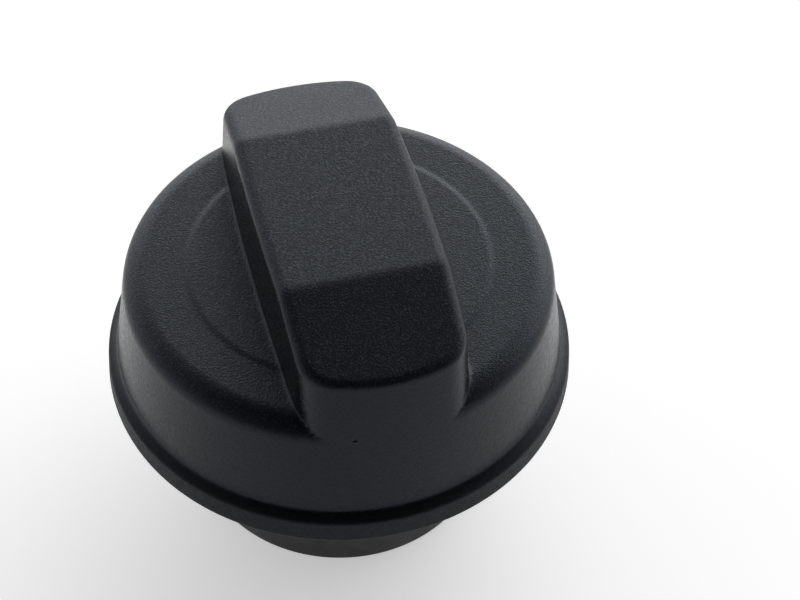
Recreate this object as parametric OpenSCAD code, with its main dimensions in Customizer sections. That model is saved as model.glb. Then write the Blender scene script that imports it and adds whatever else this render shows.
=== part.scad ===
// Screw-in fuel cap with a bar handle, a click ratchet and a two-way vent valve.
// The origin is the middle of the plug's nose end, which the cap stands on, and +Z runs up its axis.
// The handle lies along Y. The cover turns on the plug, and both valves slide along Z.

/* [Cover] */
// Diameter of the disc, at the upper end of the skirt
disc_d = 68.5; // [66:0.5:78]
// Radius of the disc's rounded outer edge
disc_edge_r = 4; // [2.8:0.1:6]
// Height of the skirt below the rounded edge
skirt_h = 13.05; // [11:0.05:18]
// Flare of the skirt from upright, in degrees
skirt_draft = 8.2; // [4:0.2:12]
// Radial width of the dark chamfer between the skirt and the rim
chamfer_w = 1.6; // [0.8:0.05:2.5]
// Height of that chamfer
chamfer_h = 1.35; // [1:0.05:4]
// Height of the rim's outer wall
rim_h = 4.1; // [3:0.05:6]
// Radial flare of the rim's outer wall
rim_flare = 0.3; // [0:0.05:1.5]
// Wall of the moulding
wall_t = 2.3; // [1.6:0.1:3]
// Diameter of the disc's raised centre
step_d = 48.1; // [40:0.1:56]
// Height of the raised centre
step_h = 0.2; // [0.1:0.05:0.6]

/* [Handle] */
// Width across the middle of the handle's sides, at its top
handle_w = 26.6; // [22:0.2:30]
// How far each bowed side of the handle draws in towards the skirt
side_bow = 1.2; // [0.4:0.1:2]
// Height of the handle above the disc
handle_h = 13.6; // [10:0.1:18]
// Length of the handle's flat top
flat_len = 32.2; // [20:0.2:44]
// How far each end slopes down before its end face
end_drop = 5.2; // [2:0.1:7]
// Draft of the handle's sides, in degrees
side_draft = 3; // [1:0.5:6]
// Rounding of the handle's long and lower slope edges
handle_edge_r = 1.9; // [1:0.1:2.4]
// Rounding of the handle's upright corners
handle_corner_r = 6; // [3:0.1:8]
// Fillet along the handle's foot
handle_foot_r = 0.6; // [0.4:0.1:2]
// Number of stiffening ribs across the hollow handle
handle_rib_n = 3; // [1:1:5]

/* [Plug] */
// Diameter of the plug's nose
nose_d = 49.2; // [46:0.1:53]
// Height of the rim's foot above the nose end
nose_len = 24.9; // [21:0.1:32]
// Rounding of the nose's outer edge
nose_edge_r = 0.6; // [0.4:0.1:1.4]
// Wall of the plug
plug_wall = 2.2; // [1.8:0.1:2.8]
// How far the wall above the nose's plain end stands in, from the thread upwards
core_step = 0.3; // [0.1:0.05:0.6]
// Thickness of the plug's flange
flange_t = 2.5; // [2:0.1:3.5]
// Rise of the thread in one turn
thread_pitch = 6.5; // [5:0.1:7]
// Height of the thread above the plug's wall
thread_depth = 1.5; // [1:0.1:2.2]
// Length of the thread in turns
thread_turns = 1.6; // [1:0.1:1.9]
// Height of the thread's start above the nose end
thread_z = 9; // [8:0.1:10]
// Number of webs between the plug's wall and its middle tube
web_n = 8; // [4:1:12]
// Thickness of each web
web_t = 1.4; // [1:0.1:2]
// Diameter of the tower that the cover turns on
tower_d = 25.8; // [24:0.2:27]

/* [Seals and rings] */
// Height of the seal's face above the rim's foot
recess_h = 3; // [1.5:0.1:4]
// Thickness of the neck seal
seal_t = 2.4; // [1.6:0.1:3]
// Thickness of the slip ring over the seal
slip_t = 0.6; // [0.4:0.1:1]
// Thickness of the retaining ring
ring_t = 1.25; // [0.9:0.05:1.6]
// How far the retaining ring reaches under the flange
ring_grip = 1.4; // [1:0.1:2]

/* [Ratchet] */
// Number of ratchet teeth
tooth_n = 24; // [12:12:36]
// Height of a ratchet tooth
tooth_h = 2; // [1.2:0.1:2.4]
// Thickness of the ratchet ring
ratchet_t = 3; // [2.4:0.1:4]
// Thickness of a pawl's arm
arm_t = 1.8; // [1.2:0.1:2.2]
// Arc that a pawl's arm spans, in degrees
arm_span = 62; // [40:1:70]
// Working height of the wave washer
wave_h = 1.6; // [1:0.1:2.4]
// Number of waves in the wave washer
wave_n = 3; // [2:1:4]
// Thickness of the wave washer's steel
wave_t = 0.35; // [0.2:0.05:0.5]
// Thickness of the thrust washer
thrust_t = 0.6; // [0.4:0.1:1]
// Thickness of the cover's inner ribs
rib_t = 1.6; // [1:0.1:2.4]
// Depth of the key slots round the drive ring
key_depth = 1.3; // [0.8:0.1:1.8]

/* [Vent valve] */
// Diameter of the valve housing's bore
bore_d = 24.4; // [23:0.2:25]
// Wall of the valve housing
housing_wall = 2.7; // [2.4:0.1:3]
// Diameter of the pressure valve's seat lip
seat_d = 18.2; // [17.4:0.1:18.8]
// Height of the housing's lower end above the nose end
housing_z = 5.2; // [4.8:0.1:6]
// Thickness of the pressure plate
plate_t = 1.4; // [1:0.1:2]
// Thickness of the rubber under the pressure plate
rubber_t = 1.2; // [0.8:0.1:1.6]
// Travel of the pressure plate, up to the spring cap's stop
pressure_lift = 2.5; // [1:0.1:3]
// Wire of the pressure spring
pressure_wire = 1; // [0.7:0.05:1.2]
// Turns of the pressure spring
pressure_turns = 6; // [4:1:8]
// Diameter of the vacuum valve's disc
vacuum_d = 11.2; // [10.6:0.1:11.6]
// Diameter of the vacuum valve's stem
stem_d = 2.4; // [2:0.1:2.8]
// Height of the vacuum spring
vacuum_spring_h = 5.4; // [4.5:0.1:6.5]
// Wire of the vacuum spring
vacuum_wire = 0.4; // [0.3:0.05:0.5]
// Turns of the vacuum spring
vacuum_turns = 6; // [4:1:8]

/* [Splash guard] */
// Thickness of the splash guard
guard_t = 1.8; // [1.4:0.1:2]
// Number of slots in the splash guard
slot_n = 12; // [6:1:16]
// Width of each slot
slot_w = 2.2; // [1.4:0.1:2.6]

/* [Hidden] */
$fn = 96;

// Overlap that joins the solids of one piece
eps = 0.5;
// Clearances: between the cover and the plug's flange, of a shaft in its guide, between faces that turn,
// of pieces pressed together, of pieces that seat on each other, and of pieces that only pass
turn_gap = 0.35;
run_gap = 0.06;
face_gap = 0.05;
snug_gap = 0.03;
seat_gap = 0.1;
loose_gap = 0.3;

// Heights of the cover
rim_z = nose_len;
rim_top_z = rim_z + rim_h;
skirt_z = rim_top_z + chamfer_h;
skirt_top_z = skirt_z + skirt_h;
disc_z = skirt_top_z + disc_edge_r;
under_z = disc_z - wall_t;
handle_z = disc_z + handle_h;

// Radii of the cover
disc_r = disc_d / 2;
flat_r = disc_r - disc_edge_r;
skirt_r = skirt_at(skirt_z);
rim_top_r = skirt_r + chamfer_w;
rim_r = rim_top_r + rim_flare;
cav_r = skirt_in(skirt_z);
pocket_r = rim_r - wall_t;
pocket_draft = 0.3;
hollow_edge_r = 0.6;

// The nose's plain end and the thread's core above it
nose_r = nose_d / 2;
core_r = nose_r - core_step;
thread_root_w = 0.62 * thread_pitch;
thread_crest_w = 0.24 * thread_pitch;
plain_z = thread_z - thread_root_w / 2 - eps;

// The stack over the filler neck: seal, slip ring and the plug's flange
seal_z = rim_z + recess_h;
slip_z = seal_z + seal_t;
flange_z = slip_z + slip_t;
flange_top_z = flange_z + flange_t;
flange_r = min(cav_r, skirt_in(flange_top_z)) - turn_gap;

// Retaining ring under the flange, its groove in the cover and the lead-in below that
ring_r = flange_r - ring_grip;
ring_z = flange_z - ring_t;
groove_h = ring_t + seat_gap;
groove_depth = 1;
groove_land = 0.6;
lead_z = ring_z - groove_land;
seal_in_r = core_r + seat_gap;
seal_out_r = ring_r - turn_gap;

// Plug, with the middle tube that takes the valve housing
plug_in_r = nose_r - plug_wall;
housing_r = bore_d / 2 + housing_wall;
tube_r = housing_r + seat_gap;
tube_wall = 1.6;
tube_out_r = tube_r + tube_wall;
housing_lip_h = 1.4;
tube_z = housing_z + housing_lip_h;

// Tower, and the cover's hub that turns on it
tower_r = tower_d / 2;
tower_wall = 1.7;
tower_head = 2.4;
tower_top_z = under_z - tower_head;
vent_n = 6;
vent_r = 1.4;
hub_r = tower_r + run_gap;
hub_wall = 1.8;
hub_out_r = hub_r + hub_wall;

// Ratchet, from the cover's wall inwards
thrust_z = flange_top_z + ratchet_t + wave_h;
rib_z = thrust_z + thrust_t;
hub_z = thrust_z - wave_h / 2;
drive_z = flange_top_z + loose_gap;
drive_r = skirt_in(rib_z) - loose_gap;
key_r = drive_r - key_depth;
drive_wall = 1.4;
root_r = key_r - drive_wall;
crest_r = root_r - tooth_h;
arm_room = 1.4;
arm_out_r = crest_r - arm_room;
arm_in_r = arm_out_r - arm_t;
base_room = 1.6;
base_r = arm_in_r - base_room;
base_wall = 2.3;
pitch = 360 / tooth_n;
face_lean = 0.6;
pawl_n = 4;
rib_n = 8;
rib_turn = 22.5;

// Dogs on the flange that hold the ratchet ring
dog_out_r = base_r - base_wall;
dog_w = 3;
dog_in_r = dog_out_r - dog_w;
dog_roof = 0.6;
dog_h = ratchet_t - dog_roof;
dog_arc = 22;
dog_n = 4;
dog_turn = 45;
washer_in_r = hub_out_r + loose_gap;

// Valve housing, from its floor upwards
bore_r = bore_d / 2;
seat_r = seat_d / 2;
seat_lip_w = 0.8;
seat_lip_h = 1.2;
seat_ledge = 1.2;
inlet_r = seat_r - seat_lip_w / 2 - seat_ledge;
floor_t = 2;
seat_z = housing_z + floor_t + seat_lip_h;
head_room = 2.3;
housing_top_z = flange_z - head_room;
o_ring_groove = 1.6;
o_ring_w = 2.2;
o_ring_in_r = housing_r - o_ring_groove;
o_ring_z = housing_top_z - 5;

// Spring cap, snapped into the top of the bore
cap_t = 1.6;
cap_drop = 0.2;
cap_z = housing_top_z - cap_drop - cap_t;
snap_depth = 0.5;
snap_w = 1;

// Pressure valve. The cup centres the spring, and the cap's stop tube ends over it
plate_z = seat_z + rubber_t;
plate_top_z = plate_z + plate_t;
plate_vent = 1.2;
plate_r = bore_r - plate_vent;
fin_n = 6;
fin_t = 2.6;
fin_h = 2;
coil_offset = 0.5;
pressure_coil_r = seat_r - coil_offset;
cup_r = pressure_coil_r - pressure_wire / 2 - loose_gap;
cup_wall = 1.4;
cup_h = 2.4;
stop_z = plate_top_z + cup_h + pressure_lift + face_gap;

// Vacuum valve in the middle of the pressure plate
vac_r = vacuum_d / 2;
stem_r = stem_d / 2;
vac_lip_h = 0.6;
vac_lip_w = 0.6;
vac_lip_r = vac_r - 0.2;
vac_rubber_t = 1;
vac_seal_z = plate_z - vac_lip_h - vac_rubber_t;
vac_disc_t = 1.2;
port_r = vac_lip_r - vac_lip_w;
spoke_n = 3;
spoke_t = 1.8;
guide_h = 2;
guide_z = plate_top_z + guide_h;
guide_wall = 1.2;
guide_r = stem_r + guide_wall;
collar_z = guide_z + vacuum_spring_h;
collar_t = 1.2;
collar_w = 1.6;
stem_tip = 0.4;
stem_top_z = collar_z + collar_t + stem_tip;
// Rim under the plate that holds the rubber in place
holder_r = vac_r + 1;
holder_w = 1.1;
holder_out_r = holder_r + holder_w;

// Splash guard, on the ledge inside the nose
guard_gap = 1.2;
ledge_z = housing_z - guard_gap;
ledge_w = 0.6;
guard_z = ledge_z - guard_t;
guard_r = plug_in_r + ledge_w - seat_gap;
spigot_h = 1.6;
spigot_wall = 1.1;
slot_margin = 4;
boss_r = 3;
boss_h = 0.6;

// Radius of the skirt's outer cone, tangent to the disc's rounded edge and carried on up the handle's ends
function skirt_at(z) =
    flat_r + disc_edge_r / cos(skirt_draft) + (skirt_top_z - z) * tan(skirt_draft);

// Radius of the skirt's inner cone, one wall further in
function skirt_in(z) = skirt_at(z) - wall_t / cos(skirt_draft);

// Half the width of the handle's middle at height z
function side_at(z) = handle_w / 2 + (handle_z - z) * tan(side_draft);

// How far a side of the handle has drawn in at distance y from its middle
function bow(y) = side_bow * pow(y / disc_r, 2);

// A point at radius r and angle a
function polar(r, a) = [r * cos(a), r * sin(a)];

// Flat ring from z0 to z1
module ring(r0, r1, z0, z1) {
    translate([0, 0, z0]) difference() {
        cylinder(r = r1, h = z1 - z0);
        translate([0, 0, -eps]) cylinder(r = r0, h = z1 - z0 + 2 * eps);
    }
}

// Solid round from z0 to z1
module disc(r, z0, z1) {
    translate([0, 0, z0]) cylinder(r = r, h = z1 - z0);
}

// Wedge of arc degrees, centred on angle 0 and cut short of the axis
module wedge(arc, r, z0, z1) {
    translate([0, 0, z0]) linear_extrude(z1 - z0) polygon([
        [0, 0], polar(r / cos(arc / 2), -arc / 2), polar(r / cos(arc / 2), arc / 2)
    ]);
}

// n copies round the axis
module round_axis(n, turn = 0) {
    for (i = [0 : n - 1]) rotate([0, 0, turn + i * 360 / n]) children();
}

// Tube swept through rings of points, closed at both ends
module sweep(rings) {
    m = len(rings[0]);
    n = len(rings);
    polyhedron(
        points = [for (ring_points = rings) for (p = ring_points) p],
        faces = concat(
            [[for (j = [m - 1 : -1 : 0]) j]],
            [for (i = [0 : n - 2]) for (j = [0 : m - 1])
                each [
                    [i * m + j, i * m + (j + 1) % m, (i + 1) * m + j],
                    [(i + 1) * m + j, i * m + (j + 1) % m, (i + 1) * m + (j + 1) % m]
                ]],
            [[for (j = [0 : m - 1]) (n - 1) * m + j]]
        )
    );
}

// Compression spring of height h on the axis, with a closed turn at each end
module coil_spring(coil_r, wire, h, turns, z) {
    sides = 8;
    steps = 20;
    w = wire / 2;
    rise = (h - 3 * wire) / (turns - 2);
    function coil_z(u) =
        u < 1 ? w + u * wire
        : u > turns - 1 ? h - w - (turns - u) * wire
        : w + wire + (u - 1) * rise;
    translate([0, 0, z]) sweep([
        for (i = [0 : turns * steps])
            let (u = i / steps)
            [for (j = [0 : sides - 1])
                let (r = coil_r + w * cos(j * 360 / sides), a = u * 360)
                [r * cos(a), r * sin(a), coil_z(u) + w * sin(j * 360 / sides)]]
    ]);
}

// Solid bar handle, inset by a wall on every side where it is hollowed, and reaching down to base_z
module handle_body(inset, edge_r, base_z, n) {
    corner_r = max(handle_corner_r - inset, 1.3 * edge_r);
    slope = atan(end_drop / (skirt_at(handle_z - end_drop) - flat_len / 2));
    top_z = handle_z - inset;
    half_flat = flat_len / 2 - inset * tan(slope / 2);
    end_z = top_z - end_drop - edge_r;
    end_r = skirt_at(end_z) - inset;
    corner_x = side_at(end_z) - inset - bow(end_r - corner_r) - corner_r;
    corner_y = sqrt(pow(end_r - corner_r, 2) - pow(corner_x, 2));
    corner_a = atan2(corner_y, corner_x);
    ball_x = side_at(top_z - edge_r) - inset - edge_r / cos(side_draft);
    ball_y = half_flat - edge_r * tan(slope / 2);
    foot_x = side_at(base_z) - inset;
    slab_t = 0.1;
    // Height of an edge ball's centre under the slope, at distance y along the handle
    function ball_z(y) = top_z - edge_r - max(0, y - ball_y) * tan(slope);
    side_spots = [for (y = [0, ball_y]) [ball_x - bow(y), y]];
    corner_spots = [for (t = [0 : 1 / 5 : 1])
        [corner_x, corner_y] + polar(corner_r - edge_r, t * corner_a)];
    end_spots = [for (t = [1 / 8 : 1 / 8 : 1])
        polar(end_r - edge_r, corner_a + t * (90 - corner_a))];
    hull() {
        translate([0, 0, base_z]) linear_extrude(slab_t)
            offset(r = corner_r) offset(delta = -corner_r) intersection() {
                circle(skirt_at(base_z) - inset);
                polygon([for (s = [1, -1], t = [-1 : 1 / 4 : 1])
                    s * [foot_x - bow(t * disc_r), t * disc_r]]);
            }
        for (sx = [-1, 1], sy = [-1, 1], p = concat(side_spots, corner_spots, end_spots))
            translate([sx * p.x, sy * p.y, ball_z(p.y)]) sphere(edge_r, $fn = n);
    }
}

// Fillet along both bowed sides of the handle's foot, its upper edge sunk into the sides
module handle_foot() {
    r = handle_foot_r;
    sink = 0.1;
    bow_r = pow(disc_r, 2) / (2 * side_bow);
    bow_a = asin(disc_r / bow_r);
    intersection() {
        cylinder(r = flat_r + 1, h = disc_z + r);
        for (s = [0, 180]) rotate([0, 0, s]) translate([side_at(disc_z + r) - sink - bow_r, 0, 0])
            rotate([0, 0, -bow_a]) rotate_extrude(angle = 2 * bow_a) difference() {
                translate([bow_r - 1, disc_z - 1]) square([r + 1, r + 1]);
                translate([bow_r + r, disc_z + r]) circle(r);
            }
    }
}

// Half section of the cover's outside without the handle
module cover_outline() {
    tip = [flat_r + disc_edge_r * cos(skirt_draft), skirt_top_z + disc_edge_r * sin(skirt_draft)];
    polygon([
        [0, rim_z], [rim_r, rim_z], [rim_top_r, rim_top_z], [skirt_r, skirt_z],
        tip, [flat_r, skirt_top_z], [flat_r, disc_z], [step_d / 2 + step_h, disc_z],
        [step_d / 2, disc_z + step_h], [0, disc_z + step_h]
    ]);
    intersection() {
        translate([flat_r, skirt_top_z]) circle(disc_edge_r);
        translate([flat_r - eps, skirt_top_z]) square([disc_edge_r + eps, disc_edge_r]);
    }
}

// Half section of the cover's cavity
module cavity_outline() {
    edge = disc_edge_r - wall_t;
    lead = pocket_r - pocket_draft;
    polygon([
        [0, rim_z - eps], [pocket_r, rim_z - eps], [pocket_r, rim_z], [lead, lead_z - (lead - cav_r)],
        [cav_r, lead_z], [cav_r, skirt_z],
        [flat_r + edge * cos(skirt_draft), skirt_top_z + edge * sin(skirt_draft)],
        [flat_r, skirt_top_z], [flat_r, under_z], [0, under_z]
    ]);
    intersection() {
        translate([flat_r, skirt_top_z]) circle(edge);
        translate([flat_r - eps, skirt_top_z]) square([edge + eps, edge]);
    }
}

// One radial rib under the disc, with the key below it that drives the drive ring
module cover_rib() {
    sink = wall_t / 2;
    mid_r = disc_edge_r - sink;
    hub_mid_r = hub_r + hub_wall / 2;
    rotate([90, 0, 0]) translate([0, 0, -rib_t / 2]) linear_extrude(rib_t) polygon([
        [hub_mid_r, rib_z], [key_r + seat_gap, rib_z], [key_r + seat_gap, drive_z],
        [skirt_in(drive_z) + sink, drive_z], [skirt_in(skirt_top_z) + sink, skirt_top_z],
        [flat_r, skirt_top_z] + polar(mid_r, 45), [flat_r, skirt_top_z + mid_r],
        [hub_mid_r, skirt_top_z + mid_r]
    ]);
}

// Ribs across the hollow of the handle
module handle_ribs() {
    half = side_at(under_z) - wall_t / 2;
    top = handle_z - wall_t / 2;
    step = flat_len / (handle_rib_n + 1);
    for (i = [1 : handle_rib_n])
        translate([0, i * step - flat_len / 2 + rib_t / 2, 0]) rotate([90, 0, 0])
            linear_extrude(rib_t) polygon([
                [-half, under_z], [half, under_z],
                [side_at(top) - wall_t, top], [wall_t - side_at(top), top]
            ]);
}

module cover() {
    color([0.13, 0.135, 0.145]) {
        difference() {
            union() {
                rotate_extrude() cover_outline();
                handle_body(0, handle_edge_r, skirt_top_z, 24);
                handle_foot();
            }
            rotate_extrude() cavity_outline();
            handle_body(wall_t, hollow_edge_r, under_z - seat_gap, 16);
            disc(cav_r + groove_depth, flange_z - groove_h, flange_z);
        }
        ring(hub_r, hub_out_r, hub_z, under_z + wall_t / 3);
        round_axis(rib_n, rib_turn) cover_rib();
        handle_ribs();
    }
}

module drive_ring() {
    color([0.88, 0.86, 0.78]) difference() {
        translate([0, 0, drive_z]) linear_extrude(rib_z - drive_z) difference() {
            circle(drive_r);
            polygon([for (i = [0 : tooth_n - 1]) each [
                polar(crest_r, i * pitch), polar(root_r, i * pitch + face_lean)
            ]]);
        }
        round_axis(rib_n, rib_turn)
            translate([key_r, -rib_t / 2 - seat_gap, drive_z - eps])
                cube([2 * key_depth, rib_t + 2 * seat_gap, rib_z - drive_z + 2 * eps]);
    }
}

module retaining_ring() {
    slit = 5;
    color([0.3, 0.3, 0.32]) difference() {
        ring(ring_r, cav_r + groove_depth - seat_gap, ring_z, flange_z - face_gap);
        rotate([0, 0, -90]) wedge(slit, 2 * cav_r, ring_z - eps, flange_z);
    }
}

module thrust_washer() {
    color([0.7, 0.71, 0.73]) ring(washer_in_r, dog_out_r, thrust_z, rib_z);
}

// Coarse thread: a trapezoid that runs out to nothing at both ends. It starts at angle thread_a.
module thread() {
    thread_a = 92;
    steps = 48;
    sink = 0.5;
    crest_r = nose_r + thread_depth;
    foot_r = core_r - sink;
    run_out_turns = 0.12;
    count = round(thread_turns * steps);
    rings = [for (i = [0 : count])
        let (
            u = i / count,
            fade = min(1, min(u, 1 - u) * thread_turns / run_out_turns),
            r = core_r - sink / 2 + (crest_r - core_r + sink / 2) * fade,
            z = thread_z + u * thread_turns * thread_pitch,
            a = thread_a + i * 360 / steps
        )
        [for (p = [[foot_r, -thread_root_w / 2], [r, -thread_crest_w / 2], [r, thread_crest_w / 2],
                   [foot_r, thread_root_w / 2]])
            [p[0] * cos(a), p[0] * sin(a), z + p[1]]]];
    sweep(rings);
}

module plug() {
    color([0.11, 0.115, 0.125]) {
        difference() {
            union() {
                rotate_extrude() {
                    polygon([
                        [0, 0], [nose_r - nose_edge_r, 0], [nose_r - nose_edge_r, nose_edge_r],
                        [nose_r, nose_edge_r], [nose_r, plain_z], [core_r, plain_z + core_step],
                        [core_r, flange_z], [flange_r, flange_z],
                        [flange_r, flange_top_z], [tower_r, flange_top_z],
                        [tower_r, tower_top_z], [0, tower_top_z]
                    ]);
                    intersection() {
                        translate([nose_r - nose_edge_r, nose_edge_r]) circle(nose_edge_r);
                        translate([nose_r - nose_edge_r, 0]) square(nose_edge_r);
                    }
                }
                round_axis(dog_n, dog_turn) intersection() {
                    ring(dog_in_r, dog_out_r, flange_top_z - eps, flange_top_z + dog_h);
                    wedge(dog_arc, dog_out_r, flange_top_z - eps, flange_top_z + dog_h);
                }
            }
            // Rebate for the splash guard and the ring-shaped hollow round the middle tube
            disc(plug_in_r + ledge_w, -eps, ledge_z);
            disc(plug_in_r, -eps, tube_z);
            difference() {
                ring(tube_out_r, plug_in_r, tube_z - eps, flange_z);
                round_axis(web_n) translate([tube_r, -web_t / 2, 0])
                    cube([nose_r - tube_r, web_t, flange_z]);
            }
            // Bore for the valve housing, the tower's hollow and its vent holes
            disc(tube_r, -eps, flange_z);
            disc(tower_r - tower_wall, -eps, tower_top_z - tower_wall);
            round_axis(vent_n) translate([tower_r / 2, 0, flange_z]) cylinder(r = vent_r, h = tower_top_z);
        }
        thread();
    }
}

module neck_seal() {
    groove_r = 0.5;
    color([0.05, 0.05, 0.055]) difference() {
        ring(seal_in_r, seal_out_r, seal_z, slip_z);
        rotate_extrude() translate([seal_out_r, seal_z + seal_t / 2]) circle(groove_r, $fn = 24);
    }
}

module slip_ring() {
    color([0.85, 0.84, 0.8]) ring(seal_in_r, seal_out_r, slip_z, flange_z);
}

// One sprung pawl: root block, curved arm and pointed tip. The tip stands in the gap of the tooth at angle 0.
module pawl() {
    tip_a = 1.6;
    tip_arc = 14;
    tip_gap = 0.5;
    root_arc = 8;
    z0 = flange_top_z + loose_gap;
    z1 = flange_top_z + ratchet_t;
    intersection() {
        ring(arm_in_r, arm_out_r, z0, z1);
        rotate([0, 0, tip_a + arm_span / 2]) wedge(arm_span, arm_out_r, z0, z1);
    }
    translate([0, 0, z0]) linear_extrude(z1 - z0) polygon([
        polar(arm_in_r + arm_t / 2, tip_a), polar(root_r - tip_gap, tip_a),
        polar(arm_out_r, tip_a + tip_arc), polar(arm_in_r + arm_t / 2, tip_a + tip_arc)
    ]);
    intersection() {
        ring(base_r - base_wall / 2, arm_out_r, z0, z1);
        rotate([0, 0, tip_a + arm_span - root_arc / 2]) wedge(root_arc, arm_out_r, z0, z1);
    }
}

module ratchet_ring() {
    top_z = flange_top_z + ratchet_t;
    dog_play = 1;
    color([0.9, 0.88, 0.82]) {
        difference() {
            ring(tower_r + loose_gap, base_r, flange_top_z, top_z);
            round_axis(dog_n, dog_turn) intersection() {
                ring(dog_in_r - seat_gap, dog_out_r + seat_gap, flange_top_z - eps, top_z);
                wedge(dog_arc + dog_play, base_r, flange_top_z - eps, flange_top_z + dog_h + seat_gap);
            }
        }
        round_axis(pawl_n) pawl();
    }
}

// Ring of spring steel that goes up and down wave_n times, a hair short of its working height
module wave_washer() {
    steps = 72;
    height = wave_h - face_gap;
    rings = [for (i = [0 : steps - 1])
        let (a = i * 360 / steps, z = (height - wave_t) * (1 - cos(wave_n * a)) / 2)
        [for (p = [[washer_in_r, 0], [dog_out_r, 0], [dog_out_r, wave_t], [washer_in_r, wave_t]])
            [p[0] * cos(a), p[0] * sin(a), z + p[1]]]];
    m = 4;
    color([0.62, 0.63, 0.66]) translate([0, 0, flange_top_z + ratchet_t]) polyhedron(
        points = [for (ring_points = rings) for (p = ring_points) p],
        faces = [for (i = [0 : steps - 1]) for (j = [0 : m - 1])
            let (k = (i + 1) % steps, l = (j + 1) % m)
            each [
                [i * m + j, i * m + l, k * m + j],
                [k * m + j, i * m + l, k * m + l]
            ]]
    );
}

module splash_guard() {
    spigot_r = plug_in_r - seat_gap;
    slot_out_r = plug_in_r - slot_margin;
    slot_h = guard_t + 2 * eps;
    color([0.12, 0.125, 0.135]) {
        difference() {
            union() {
                disc(guard_r, guard_z, ledge_z);
                ring(spigot_r - spigot_wall, spigot_r, ledge_z - eps, ledge_z + spigot_h);
            }
            round_axis(slot_n) translate([0, 0, guard_z - eps]) {
                translate([inlet_r, -slot_w / 2, 0]) cube([slot_out_r - inlet_r, slot_w, slot_h]);
                translate([inlet_r, 0, 0]) cylinder(r = slot_w / 2, h = slot_h);
                translate([slot_out_r, 0, 0]) cylinder(r = slot_w / 2, h = slot_h);
            }
        }
        // Low boss in the middle, where the moulding is gated
        disc(boss_r, guard_z - boss_h, guard_z + eps);
    }
}

module valve_housing() {
    snap_mid_z = cap_z + cap_t / 2;
    color([0.86, 0.85, 0.8]) difference() {
        union() {
            disc(housing_r, housing_z, housing_top_z);
            disc(tube_out_r, housing_z, tube_z);
        }
        difference() {
            disc(bore_r, housing_z + floor_t, housing_top_z + eps);
            ring(seat_r - seat_lip_w / 2, seat_r + seat_lip_w / 2, housing_z, seat_z);
        }
        disc(inlet_r, housing_z - eps, seat_z);
        ring(o_ring_in_r, housing_r + eps, o_ring_z - o_ring_w / 2, o_ring_z + o_ring_w / 2);
        disc(bore_r + snap_depth, snap_mid_z - snap_w / 2, snap_mid_z + snap_w / 2);
    }
}

module housing_o_ring() {
    room = tube_r - o_ring_in_r;
    color([0.06, 0.06, 0.065]) rotate_extrude()
        translate([o_ring_in_r + room / 2, o_ring_z]) circle(room / 2 - snug_gap, $fn = 32);
}

// Cap over the spring, with a snap bead, vent holes and the tube that stops the pressure plate
module spring_cap() {
    snap_mid_z = cap_z + cap_t / 2;
    bead_w = snap_w - 2 * seat_gap;
    hole_r = 1.3;
    middle_r = 1.8;
    hole_ring_r = cup_r - cup_wall - hole_r - loose_gap;
    color([0.86, 0.85, 0.8]) difference() {
        union() {
            disc(bore_r - snug_gap, cap_z, cap_z + cap_t);
            disc(bore_r + snap_depth - seat_gap, snap_mid_z - bead_w / 2, snap_mid_z + bead_w / 2);
            ring(cup_r - cup_wall, cup_r, stop_z, cap_z + eps);
        }
        round_axis(vent_n) translate([hole_ring_r, 0, cap_z - eps])
            cylinder(r = hole_r, h = cap_t + 2 * eps);
        disc(middle_r, cap_z - eps, cap_z + cap_t + eps);
    }
}

module pressure_spring() {
    color([0.66, 0.67, 0.7])
        coil_spring(pressure_coil_r, pressure_wire, cap_z - plate_top_z, pressure_turns, plate_top_z);
}

// Plate with a cup for the spring, guide fins, the rim that holds its rubber, and the vacuum valve's lip,
// spokes and guide in the middle
module pressure_plate() {
    fin_l = plate_vent + 1;
    color([0.9, 0.89, 0.85]) {
        difference() {
            union() {
                disc(plate_r, plate_z, plate_top_z);
                disc(cup_r, plate_z, plate_top_z + cup_h);
                intersection() {
                    disc(bore_r - run_gap, plate_z, plate_top_z + fin_h);
                    round_axis(fin_n) translate([bore_r - fin_l, -fin_t / 2, plate_z])
                        cube([2 * fin_l, fin_t, plate_t + fin_h]);
                }
                ring(holder_r, holder_out_r, plate_z - rubber_t * 0.7, plate_z + eps);
                ring(port_r, vac_lip_r, plate_z - vac_lip_h, plate_z + eps);
            }
            disc(cup_r - cup_wall, plate_top_z, plate_top_z + cup_h + eps);
            difference() {
                disc(port_r, plate_z - eps, plate_top_z + eps);
                round_axis(spoke_n) translate([0, -spoke_t / 2, 0]) cube([vac_r, spoke_t, plate_top_z]);
                cylinder(r = guide_r, h = plate_top_z + eps);
            }
            disc(stem_r + run_gap, plate_z - eps, plate_top_z + eps);
        }
        ring(stem_r + run_gap, guide_r, plate_z, guide_z);
    }
}

module pressure_seal() {
    color([0.07, 0.07, 0.075])
        ring(holder_out_r + seat_gap, plate_r - loose_gap, seat_z, plate_z);
}

module vacuum_spring() {
    coil_r = stem_r + loose_gap + vacuum_wire / 2;
    color([0.68, 0.69, 0.72])
        coil_spring(coil_r, vacuum_wire, vacuum_spring_h, vacuum_turns, guide_z);
}

module vacuum_stem() {
    tip_z = stem_top_z - stem_tip;
    color([0.9, 0.89, 0.85]) {
        disc(vac_r, vac_seal_z - vac_disc_t, vac_seal_z);
        disc(stem_r, vac_seal_z - eps, tip_z);
        translate([0, 0, tip_z]) cylinder(r1 = stem_r, r2 = stem_r - stem_tip, h = stem_tip);
    }
}

module vacuum_seal() {
    color([0.07, 0.07, 0.075])
        ring(stem_r + snug_gap, vac_r - seat_gap, vac_seal_z, plate_z - vac_lip_h);
}

module vacuum_collar() {
    color([0.72, 0.73, 0.75]) ring(stem_r + snug_gap, stem_r + collar_w, collar_z, collar_z + collar_t);
}

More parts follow.
